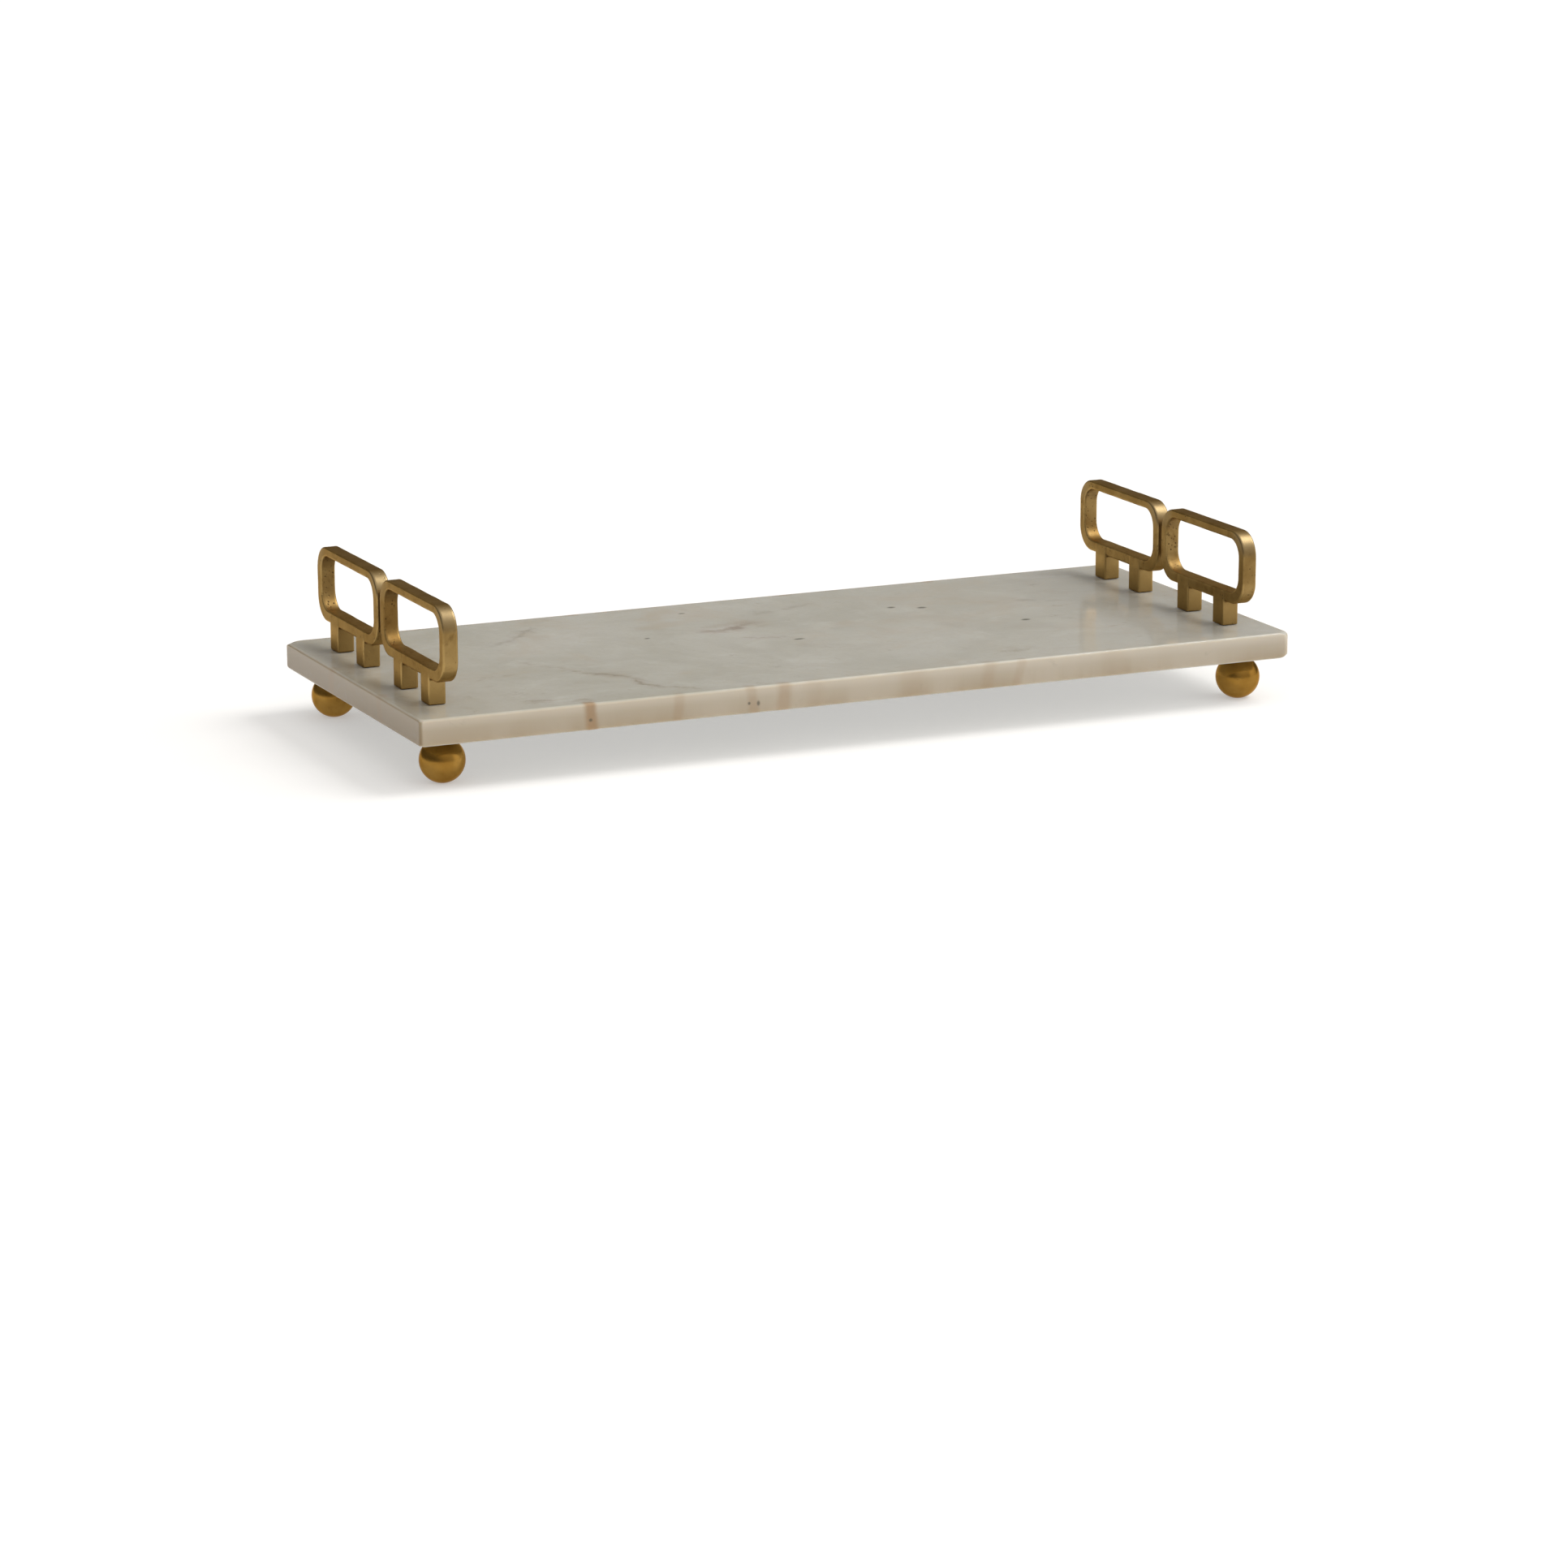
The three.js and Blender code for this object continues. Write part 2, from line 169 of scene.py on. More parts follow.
def revolve(profile, segments, place, thread=None):
    """Vertices and faces of (radius, height) pairs turned about a vertical axis at place. The profile
    goes from one end of the axis to the other, or closes on itself. thread is the (low, high) heights
    between which a helical groove is cut."""
    vertices = []
    rows = []
    for radius, height in profile:
        if radius == 0:
            rows.append([len(vertices)])
            vertices.append((place[0], place[1], place[2] + height))
            continue
        row = []
        for i in range(segments):
            turn = i / segments
            reach = radius
            if thread and thread[0] <= height <= thread[1]:
                phase = (height / THREAD_PITCH - turn) % 1
                reach -= THREAD_DEPTH * min(1, THREAD_FLANK * abs(phase - 0.5))
            angle = 2 * math.pi * turn
            row.append(len(vertices))
            vertices.append((place[0] + reach * math.cos(angle), place[1] + reach * math.sin(angle),
                             place[2] + height))
        rows.append(row)
    if profile[0] == profile[-1]:
        rows[-1] = rows[0]
    faces = []
    for low, high in zip(rows, rows[1:]):
        for i in range(segments):
            j = (i + 1) % segments
            corners = [low[i % len(low)], low[j % len(low)], high[j % len(high)], high[i % len(high)]]
            face = [c for n, c in enumerate(corners) if c not in corners[:n]]
            faces.append(face)
    used = sorted({c for face in faces for c in face})
    renumbered = {old: new for new, old in enumerate(used)}
    return [vertices[c] for c in used], [[renumbered[c] for c in face] for face in faces]


def turned_piece(node, name, profile, segments, sharp_angle, thread=None):
    """A profile turned about the middle of a node's CAD box, with its heights counted from the bottom."""
    centre = node_centre(node)
    vertices, faces = revolve(profile, segments, (centre.x, centre.y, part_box(node)[0].z), thread)
    return add_piece(name, vertices, faces, sharp_angle)


# ---- marble slab ------------------------------------------------------------------------------------

def slab_ring(half, edge, side, lift):
    """One level of the slab's rounded edge, as (x, y, z) points: lift is 0 where the rounding starts on
    the upright sides and 90 degrees where it ends on the flat face at height edge."""
    inset = SLAB_ARRIS * (1 - math.cos(lift))
    ring = []
    for quarter, (side_x, side_y, waist, flare, softening) in enumerate(SLAB_CORNERS):
        radius = waist + flare * (1 - math.cos(lift))
        for i in range(SLAB_CORNER_STEPS + 1):
            angle = math.pi / 2 * (quarter + i / SLAB_CORNER_STEPS)
            depth = SLAB_ARRIS + softening * math.sin(math.pi * i / SLAB_CORNER_STEPS) ** 2
            ring.append((side_x * (half.x - inset - radius) + radius * math.cos(angle),
                         side_y * (half.y - inset - radius) + radius * math.sin(angle),
                         edge - side * depth * (1 - math.sin(lift))))
    return ring


def circle_ring(centre, radius, steps=64):
    return [(centre[0] + radius * math.cos(2 * math.pi * i / steps),
             centre[1] + radius * math.sin(2 * math.pi * i / steps)) for i in range(steps)]


def loft(bm, rings):
    """Joins closed rings of bmesh vertices one above the other with quads."""
    for low, high in zip(rings, rings[1:]):
        for i in range(len(low)):
            j = (i + 1) % len(low)
            bm.faces.new((low[i], low[j], high[j], high[i]))


def ring_edges(bm, ring):
    return [bm.edges.get((ring[i], ring[(i + 1) % len(ring)]))
            or bm.edges.new((ring[i], ring[(i + 1) % len(ring)])) for i in range(len(ring))]


def make_slab():
    low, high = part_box("marble_slab")
    half = (high - low) / 2
    bm = bmesh.new()

    def ring_at(points, height):
        return [bm.verts.new((x, y, height)) for x, y in points]

    outside = []
    for side, edge in ((-1, low.z), (1, high.z)):
        for i in range(SLAB_ARRIS_STEPS + 1):
            rise = i / SLAB_ARRIS_STEPS
            lift = math.pi / 2 * (1 - rise if side < 0 else rise)
            outside.append([bm.verts.new(point) for point in slab_ring(half, edge, side, lift)])
    loft(bm, outside)
    bottom_edges = ring_edges(bm, outside[0])
    top_edges = ring_edges(bm, outside[-1])

    for handle, row, leg in product(HANDLES, ROWS, ROWS):
        centre = node_centre(f"{handle}_{row}_link_{leg}_screw")
        ceiling = low.z + COUNTERBORE_DEPTH
        mouth = ring_at(circle_ring(centre, COUNTERBORE_RADIUS), low.z)
        upper = ring_at(circle_ring(centre, COUNTERBORE_RADIUS), ceiling)
        inner = ring_at(circle_ring(centre, HOLE_RADIUS), ceiling)
        exit_ring = ring_at(circle_ring(centre, HOLE_RADIUS), high.z)
        loft(bm, [exit_ring, inner, upper, mouth])
        bottom_edges += ring_edges(bm, mouth)
        top_edges += ring_edges(bm, exit_ring)
    for handle, row in product(HANDLES, ROWS):
        centre = node_centre(f"{handle}_{row}_foot_insert")
        mouth = ring_at(circle_ring(centre, POCKET_RADIUS), low.z)
        ceiling = ring_at(circle_ring(centre, POCKET_RADIUS), low.z + POCKET_DEPTH)
        loft(bm, [ceiling, mouth])
        bm.faces.new(ceiling)
        bottom_edges += ring_edges(bm, mouth)

    bmesh.ops.triangle_fill(bm, use_beauty=True, edges=bottom_edges)
    bmesh.ops.triangle_fill(bm, use_beauty=True, edges=top_edges)
    slab = add_bmesh("polished_marble_slab", bm, 40)
    slab.modifiers.new("flat_faces_stay_flat", "WEIGHTED_NORMAL").keep_sharp = True
    return slab


# ---- brass loops ------------------------------------------------------------------------------------

def rounded_rectangle_distance(u, v, half_u, half_v, radius):
    reach_u = np.abs(u) - half_u + radius
    reach_v = np.abs(v) - half_v + radius
    outside = np.hypot(np.maximum(reach_u, 0), np.maximum(reach_v, 0))
    return outside + np.minimum(np.maximum(reach_u, reach_v), 0) - radius


def extruded_distance(outline, offset, half_length, arris):
    """Distance to an outline drawn out to half_length on both sides, with rounded arrises."""
    across = outline + arris
    along = np.abs(offset) - half_length + arris
    outside = np.hypot(np.maximum(across, 0), np.maximum(along, 0))
    return outside + np.minimum(np.maximum(across, along), 0) - arris


def blended_union(a, b, fillet):
    overlap = np.maximum(fillet - np.abs(a - b), 0) / fillet
    return np.minimum(a, b) - overlap * overlap * fillet / 4


def window_distance(points, width):
    middle = LEG_HEIGHT + LOOP_HEIGHT / 2 + (BOTTOM_BAR - TOP_BAR) / 2
    return rounded_rectangle_distance(points[:, 1], points[:, 2] - middle, width / 2 - SIDE_BAR,
                                      (LOOP_HEIGHT - BOTTOM_BAR - TOP_BAR) / 2, LOOP_INNER_RADIUS)


def link_distance(points, width, depth):
    """Distance to one casting: its loop, its two legs and the tapped holes in them. Local metres,
    with the origin at the bottom of the legs, x along the tray and y across it."""
    x, y, z = points.T
    middle = LEG_HEIGHT + LOOP_HEIGHT / 2
    outer = rounded_rectangle_distance(y, z - middle, width / 2, LOOP_HEIGHT / 2, LOOP_OUTER_RADIUS)
    ring = np.maximum(outer, -window_distance(points, width))
    casting = extruded_distance(ring, x, LOOP_DEPTH / 2, LOOP_ARRIS)
    leg_top = LEG_HEIGHT + LEG_TAPER_HEIGHT
    narrowing = LEG_TAPER * np.clip((z - LEG_HEIGHT) / LEG_TAPER_HEIGHT, 0, 1)
    for side in (-1, 1):
        offset = y - side * LEG_OFFSET
        section = rounded_rectangle_distance(x, offset, depth / 2 - narrowing, LEG_WIDTH / 2, LEG_CORNER)
        leg = extruded_distance(section, z - leg_top / 2, leg_top / 2, LEG_ARRIS)
        casting = blended_union(casting, leg, LEG_BLEND)
    for side in (-1, 1):
        bore = np.maximum(np.hypot(x, y - side * LEG_OFFSET) - HOLE_RADIUS, z - TAPPED_DEPTH)
        casting = np.maximum(casting, -bore)
    return casting


def surface_net(distance, low, high, step):
    """Quads over the zero level of a distance function: a vertex for each grid cell that the level
    crosses, moved onto the level, and a face for each grid edge that it crosses."""
    axes = [np.arange(a, b + step, step) for a, b in zip(low, high)]
    grid = np.stack(np.meshgrid(*axes, indexing="ij"), -1)
    inside = (distance(grid.reshape(-1, 3)) < 0).reshape(grid.shape[:3])
    size = np.array(inside.shape) - 1
    count = np.zeros(size, int)
    for i, j, k in product((0, 1), repeat=3):
        count += inside[i:i + size[0], j:j + size[1], k:k + size[2]]
    crossed = (count > 0) & (count < 8)
    number = np.full(size, -1)
    number[crossed] = np.arange(crossed.sum())
    points = grid[:-1, :-1, :-1][crossed] + step / 2

    faces = []
    for axis in range(3):
        u, v = [a for a in range(3) if a != axis]
        here = np.moveaxis(inside, (axis, u, v), (0, 1, 2))
        cells = np.moveaxis(number, (axis, u, v), (0, 1, 2))
        leaves = here[:-1, 1:-1, 1:-1] & ~here[1:, 1:-1, 1:-1]
        enters = ~here[:-1, 1:-1, 1:-1] & here[1:, 1:-1, 1:-1]
        around = (cells[:, :-1, :-1], cells[:, 1:, :-1], cells[:, 1:, 1:], cells[:, :-1, 1:])
        flipped = axis == 1
        for mask, reverse in ((leaves, flipped), (enters, not flipped)):
            quads = np.stack([c[mask] for c in around], -1)
            faces.append(quads[:, ::-1] if reverse else quads)

    nudge = step / 50
    least_slope = 0.5
    for _ in range(SNAP_PASSES):
        here = distance(points)
        slopes = []
        for direction in np.eye(3):
            ahead = distance(points + nudge * direction)
            behind = distance(points - nudge * direction)
            slopes.append((ahead - behind) / (2 * nudge))
        slope = np.stack(slopes, -1)
        squared = np.maximum((slope * slope).sum(1), least_slope ** 2)
        points = points - slope * (here / squared)[:, None]
    return points, np.concatenate(faces)


def hand_finish(points, seed):
    """How far linishing by hand has gone below the nominal surface: slow waves, never above it."""
    random = np.random.default_rng(seed)
    wave = np.zeros(len(points))
    for _ in range(WAVE_COUNT):
        direction = random.normal(size=3)
        direction *= random.uniform(*WAVE_NUMBERS) / np.linalg.norm(direction)
        wave += np.sin(points @ direction + random.uniform(0, 2 * math.pi))
    return -WAVE_DEPTH * (0.5 + 0.5 * np.clip(wave * 2 / WAVE_COUNT, -1, 1))


def make_link(node, name, seed):
    low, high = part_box(node)
    origin = np.array(((low.x + high.x) / 2, (low.y + high.y) / 2, low.z))
    width = high.y - low.y
    depth = high.x - low.x
    margin = 2 * CASTING_STEP

    def distance(points):
        return link_distance(points, width, depth)

    reach = (depth / 2 + margin, width / 2 + margin, high.z - low.z + margin)
    points, faces = surface_net(distance, (-reach[0], -reach[1], -margin), reach, CASTING_STEP)
    here = distance(points)
    nudge = MM / 50
    normals = np.stack([distance(points + nudge * direction) - here for direction in np.eye(3)], -1)
    normals /= np.maximum(np.linalg.norm(normals, axis=1), 1e-9)[:, None]
    seat = points[:, 2] < CASTING_STEP
    lowered = points + normals * (hand_finish(points + origin, seed) * ~seat)[:, None]
    piece = add_piece(name, lowered + origin, faces)

    def store(attribute, values):
        """Keeps a number for each vertex, for the material to read."""
        piece.data.attributes.new(attribute, "FLOAT", "POINT").data.foreach_set("value", values)

    # How much further the surface is, a little way off in all six directions, than it is here: positive
    # along a rounded edge, which wears bright, and negative in an inside corner, which is made darker.
    bend = -6 * here
    for direction in np.concatenate((np.eye(3), -np.eye(3))):
        bend += distance(points + EDGE_REACH * direction)
    store("edge", np.clip(bend / EDGE_REACH * EDGE_GAIN, -1, 1))
    # 1 on the wall of the window.
    store("inner", np.clip(1 - np.abs(window_distance(points, width)) / MM, 0, 1))
    # 1 in the middle of the upper outer corners, which hands rub and where a pale highlight is painted.
    along = np.abs(points[:, 1]) - width / 2 + LOOP_OUTER_RADIUS
    above = points[:, 2] - (high.z - low.z) + LOOP_OUTER_RADIUS
    rounded = np.maximum(along, 0) * np.maximum(above, 0) / LOOP_OUTER_RADIUS ** 2
    store("handled_and_highlight", np.clip(2 * rounded, 0, 1))
    return piece


# ---- turned pieces ----------------------------------------------------------------------------------

def make_ball(node, name):
    low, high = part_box(node)
    top = high.z - low.z
    flat = math.asin(BALL_FLAT_RADIUS / BALL_RADIUS)
    neck = math.asin(NECK_RADIUS / BALL_RADIUS)
    middle = BALL_RADIUS * math.cos(flat)
    steps = 64
    profile = [(0, 0)]
    for i in range(steps + 1):
        angle = flat - math.pi / 2 + (math.pi - neck - flat) * i / steps
        profile.append((BALL_RADIUS * math.cos(angle), middle + BALL_RADIUS * math.sin(angle)))
    profile += [(NECK_RADIUS, top - NECK_EDGE), (NECK_RADIUS - NECK_EDGE, top), (HOLE_RADIUS, top),
                (HOLE_RADIUS, top - TAPPED_DEPTH), (0, top - TAPPED_DEPTH)]
    return turned_piece(node, name, profile, 96, 35)


def thread_rows(low, high):
    count = round((high - low) / (THREAD_PITCH / THREAD_ROWS))
    return [(THREAD_RADIUS, low + (high - low) * i / count) for i in range(count + 1)]


def make_stud(node, name):
    low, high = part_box(node)
    length = high.z - low.z
    thread = (END_CHAMFER, length - END_CHAMFER)
    profile = [(0, 0), (THREAD_RADIUS - END_CHAMFER, 0)]
    profile += thread_rows(*thread)
    profile += [(THREAD_RADIUS - END_CHAMFER, length), (0, length)]
    return turned_piece(node, name, profile, SCREW_SEGMENTS, 60, thread)


def make_screw(node, name):
    low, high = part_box(node)
    centre = (low + high) / 2
    length = high.z - low.z
    profile = []
    for degrees in range(0, 91, 9):
        turn = math.radians(degrees)
        reach = SCREW_CROWN_RADIUS + (SCREW_HEAD_RADIUS - SCREW_CROWN_RADIUS) * math.sin(turn)
        profile.append((reach, SCREW_DOME_HEIGHT * (1 - math.cos(turn))))
    profile += [(SCREW_HEAD_RADIUS, SCREW_HEAD_HEIGHT - SCREW_HEAD_EDGE),
                (SCREW_HEAD_RADIUS - SCREW_HEAD_EDGE, SCREW_HEAD_HEIGHT),
                (THREAD_RADIUS, SCREW_HEAD_HEIGHT)]
    thread = (SCREW_HEAD_HEIGHT + SCREW_NECK, length - END_CHAMFER)
    profile += thread_rows(*thread)
    profile += [(THREAD_RADIUS - END_CHAMFER, length), (0, length)]
    vertices, faces = revolve(profile, SCREW_SEGMENTS, (centre.x, centre.y, low.z), thread)

    # The revolved profile is open under the head: a hexagon socket closes it.
    bm = bmesh.new()
    made = [bm.verts.new(v) for v in vertices]
    for face in faces:
        bm.faces.new([made[i] for i in face])
    rim = made[:SCREW_SEGMENTS]
    hexagon = circle_ring(centre, SOCKET_ACROSS_FLATS / 2 / math.cos(math.pi / 6), 6)
    mouth = [bm.verts.new((x, y, low.z)) for x, y in hexagon]
    floor = [bm.verts.new((x, y, low.z + SOCKET_DEPTH)) for x, y in hexagon]
    loft(bm, [floor, mouth])
    bm.faces.new(floor)
    bmesh.ops.triangle_fill(bm, use_beauty=True, edges=ring_edges(bm, rim) + ring_edges(bm, mouth))
    return add_bmesh(name, bm, 40)


def make_washer(node, name):
    low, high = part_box(node)
    outer = (high.x - low.x) / 2
    thick = high.z - low.z
    edge = WASHER_EDGE
    profile = [(HOLE_RADIUS, 0), (outer - edge, 0), (outer, edge), (outer, thick - edge),
               (outer - edge, thick), (HOLE_RADIUS, thick), (HOLE_RADIUS, 0)]
    return turned_piece(node, name, profile, 64, 50)


def make_insert(node, name):
    low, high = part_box(node)
    outer = (high.x - low.x) / 2
    tall = high.z - low.z
    edge = INSERT_EDGE
    groove = INSERT_GROOVE
    profile = [(HOLE_RADIUS, 0), (outer - edge, 0), (outer, edge), (outer, tall / 3 - groove),
               (outer - groove, tall / 3), (outer - groove, 2 * tall / 3), (outer, 2 * tall / 3 + groove),
               (outer, tall - edge), (outer - edge, tall), (HOLE_RADIUS, tall), (HOLE_RADIUS, 0)]
    return turned_piece(node, name, profile, 48, 30)


# ---- material helpers -------------------------------------------------------------------------------

class Field:
    """A number that varies over the surface. Arithmetic on it adds Math nodes to its material."""

    def __init__(self, socket):
        self.socket = socket
        self.tree = socket.id_data

    def math(self, operation, *others):
        node = self.tree.nodes.new("ShaderNodeMath")
        node.operation = operation
        for slot, value in zip(node.inputs, (self, *others)):
            if isinstance(value, Field):
                self.tree.links.new(value.socket, slot)
            else:
                slot.default_value = value
        return Field(node.outputs[0])

    def __add__(self, other):
        return self.math("ADD", other)

    def __sub__(self, other):
        return self.math("SUBTRACT", other)

    def __mul__(self, other):
        return self.math("MULTIPLY", other)

    def ramp(self, low, high, smooth=True):
        """0 below low, 1 above high. low may be the larger, which turns the ramp round."""
        node = self.tree.nodes.new("ShaderNodeMapRange")
        node.interpolation_type = "SMOOTHSTEP" if smooth else "LINEAR"
        self.tree.links.new(self.socket, node.inputs["Value"])
        node.inputs["From Min"].default_value = min(low, high)
        node.inputs["From Max"].default_value = max(low, high)
        node.inputs["To Min"].default_value = 0 if low < high else 1
        node.inputs["To Max"].default_value = 1 if low < high else 0
        return Field(node.outputs["Result"])


class Surface:
    """A new material with a Principled shader, and short ways to add the nodes that feed it."""

    def __init__(self, name):
        self.material = bpy.data.materials.new(name)
        self.material.use_nodes = True
        self.tree = self.material.node_tree
        self.shader = self.tree.nodes["Principled BSDF"]
        self.place = self.tree.nodes.new("ShaderNodeTexCoord").outputs["Object"]

    def set(self, name, value):
        self.shader.inputs[name].default_value = value

    def feed(self, name, source):
        socket = source.socket if isinstance(source, Field) else source
        self.tree.links.new(socket, self.shader.inputs[name])

    def stretched(self, scale):
        node = self.tree.nodes.new("ShaderNodeMapping")
        node.inputs["Scale"].default_value = scale
        self.tree.links.new(self.place, node.inputs["Vector"])
        return node.outputs["Vector"]

    def axes(self, vector=None):
        node = self.tree.nodes.new("ShaderNodeSeparateXYZ")
        self.tree.links.new(vector or self.place, node.inputs[0])
        return [Field(s) for s in node.outputs]

    def attribute(self, name):
        node = self.tree.nodes.new("ShaderNodeAttribute")
        node.attribute_name = name
        return Field(node.outputs["Fac"])

    def true_normal(self):
        return self.tree.nodes.new("ShaderNodeNewGeometry").outputs["True Normal"]

    def noise(self, scale, detail=4, roughness=0.55, distortion=0, vector=None, seed=0):
        node = self.tree.nodes.new("ShaderNodeTexNoise")
        node.noise_dimensions = "4D"
        node.inputs["W"].default_value = seed
        node.inputs["Scale"].default_value = scale
        node.inputs["Detail"].default_value = detail
        node.inputs["Roughness"].default_value = roughness
        node.inputs["Distortion"].default_value = distortion
        self.tree.links.new(vector or self.place, node.inputs["Vector"])
        return Field(node.outputs["Fac"])

    def cells(self, scale):
        node = self.tree.nodes.new("ShaderNodeTexVoronoi")
        node.inputs["Scale"].default_value = scale
        self.tree.links.new(self.place, node.inputs["Vector"])
        return Field(node.outputs["Distance"])

    def mix(self, amount, low, high):
        """A colour between low and high, each a colour tuple or a socket."""
        node = self.tree.nodes.new("ShaderNodeMix")
        node.data_type = "RGBA"
        self.tree.links.new(amount.socket, node.inputs[0])
        for slot, value in ((node.inputs[6], low), (node.inputs[7], high)):
            if isinstance(value, tuple):
                slot.default_value = (*value, 1)
            else:
                self.tree.links.new(value, slot)
        return node.outputs[2]

    def bump(self, height, distance, strength=1.0, after=None):
        node = self.tree.nodes.new("ShaderNodeBump")
        node.inputs["Distance"].default_value = distance
        node.inputs["Strength"].default_value = strength
        self.tree.links.new(height.socket, node.inputs["Height"])
        if after is not None:
            self.tree.links.new(after, node.inputs["Normal"])
        return node.outputs["Normal"]


# ---- materials --------------------------------------------------------------------------------------

GROUND_DEEP = (0.425, 0.415, 0.360)
GROUND_PALE = (0.500, 0.490, 0.445)
GROUND_WHITE = (0.600, 0.590, 0.560)
GROUND_OLIVE = (0.360, 0.340, 0.280)
GROUND_WARM = (0.450, 0.395, 0.310)
END_WARM_SHADE = (0.305, 0.240, 0.145)
END_DEEP_SHADE = (0.235, 0.165, 0.085)
SIDE_PAINTED_GLOW = (0.610, 0.570, 0.490)
SIDE_PALE = (0.530, 0.465, 0.375)
SIDE_LAYERS_AND_SHADE = (0.395, 0.325, 0.230)
AMBER = (0.330, 0.205, 0.100)
VEIN_BROWN = (0.250, 0.190, 0.130)
VEIN_GREY_BROWN = (0.300, 0.265, 0.210)
VEIN_PINK = (0.330, 0.260, 0.205)
VEIN_OLIVE = (0.340, 0.300, 0.215)
FLECK_GREY = (0.090, 0.082, 0.060)

VEIN_WANDER = 26 * MM             # range of a vein's slow straying from its line
VEIN_RAGGEDNESS = 7 * MM          # range of the quick wobble on top of that
BAND_DEPTH = 7 * MM               # how far into the slab the amber bands reach

# A point on each vein (x, y), its direction in degrees from +X, how far it leans for each metre of
# height, its length, its half width, its strength and its colour.
VEINS = (
    (-0.138, 0.068, 46, 0.3, 0.090, 0.0036, 0.40, VEIN_GREY_BROWN),
    (-0.140, -0.035, -58, 0.2, 0.110, 0.0028, 0.55, VEIN_BROWN),
    (-0.124, -0.072, -85, 0.2, 0.050, 0.0024, 0.55, VEIN_BROWN),
    (-0.112, -0.092, -46, 0.2, 0.050, 0.0022, 0.50, VEIN_BROWN),
    (-0.192, -0.027, 12, 0.1, 0.034, 0.0018, 0.50, VEIN_BROWN),
    (-0.180, -0.100, -24, 0.1, 0.046, 0.0022, 0.70, VEIN_BROWN),
    (-0.214, 0.040, -30, 0.1, 0.050, 0.0026, 0.30, VEIN_GREY_BROWN),
    (-0.018, 0.036, 15, 0.4, 0.060, 0.0065, 0.75, VEIN_PINK),
    (-0.012, 0.004, -20, 0.3, 0.040, 0.0032, 0.45, VEIN_PINK),
    (0.100, -0.088, 8, 0.1, 0.040, 0.0070, 0.50, VEIN_OLIVE),
    (0.030, 0.070, 20, 0.2, 0.060, 0.0034, 0.28, VEIN_GREY_BROWN),
    (0.178, 0.030, -25, 0.2, 0.060, 0.0034, 0.28, VEIN_GREY_BROWN),
)

# Where an amber band crosses the long sides (x) or the ends (y), which side or end it is on, its half
# width, its strength and how far it leans.
LONG_SIDE_BANDS = (
    (-0.1675, -1, 0.0034, 0.85, 0.10),
    (-0.1145, -1, 0.0030, 0.30, -0.12),
    (-0.0725, -1, 0.0030, 0.34, 0.15),
    (-0.0520, -1, 0.0042, 0.42, -0.10),
    (-0.0350, -1, 0.0060, 0.14, 0.20),
    (0.0250, -1, 0.0080, 0.14, 0.20),
    (0.0740, -1, 0.0040, 0.22, -0.20),
    (0.0940, -1, 0.0030, 0.22, -0.30),
    (0.1500, -1, 0.0080, 0.10, 0.20),
    (0.1400, 1, 0.0030, 0.70, -0.30),
    (0.0450, 1, 0.0060, 0.35, 0.30),
    (-0.0900, 1, 0.0040, 0.55, 0.20),
    (-0.1900, 1, 0.0070, 0.30, -0.20),
)
END_BANDS = (
    (0.0300, -1, 0.0050, 0.30, 0.20),
    (-0.0450, -1, 0.0040, 0.25, -0.30),
    (0.0200, 1, 0.0040, 0.50, -0.20),
    (-0.0600, 1, 0.0070, 0.30, 0.30),
)

# A grey fleck's place, its direction in degrees from +X, half length, half width and half height.
FLECKS = (
    (0.003, -0.008, SLAB_TOP, 8, 0.0030, 0.0014, 0.0010),
    (0.088, 0.049, SLAB_TOP, 12, 0.0022, 0.0018, 0.0010),
    (0.104, 0.041, SLAB_TOP, 5, 0.0026, 0.0020, 0.0010),
    (0.144, -0.015, SLAB_TOP, 10, 0.0026, 0.0018, 0.0010),
    (-0.075, 0.030, SLAB_TOP, 20, 0.0016, 0.0010, 0.0010),
    (-0.030, 0.085, SLAB_TOP, 5, 0.0018, 0.0010, 0.0010),
    (-0.1670, -SLAB_SIDE, SLAB_TOP - 9.2 * MM, 0, 0.0010, 0.0010, 0.0009),
    (-0.0735, -SLAB_SIDE, SLAB_TOP - 9.0 * MM, 0, 0.0008, 0.0010, 0.0008),
    (-0.0680, -SLAB_SIDE, SLAB_TOP - 9.4 * MM, 0, 0.0009, 0.0010, 0.0013),
    (0.0600, SLAB_SIDE, SLAB_TOP - 6.0 * MM, 0, 0.0009, 0.0010, 0.0007),
)


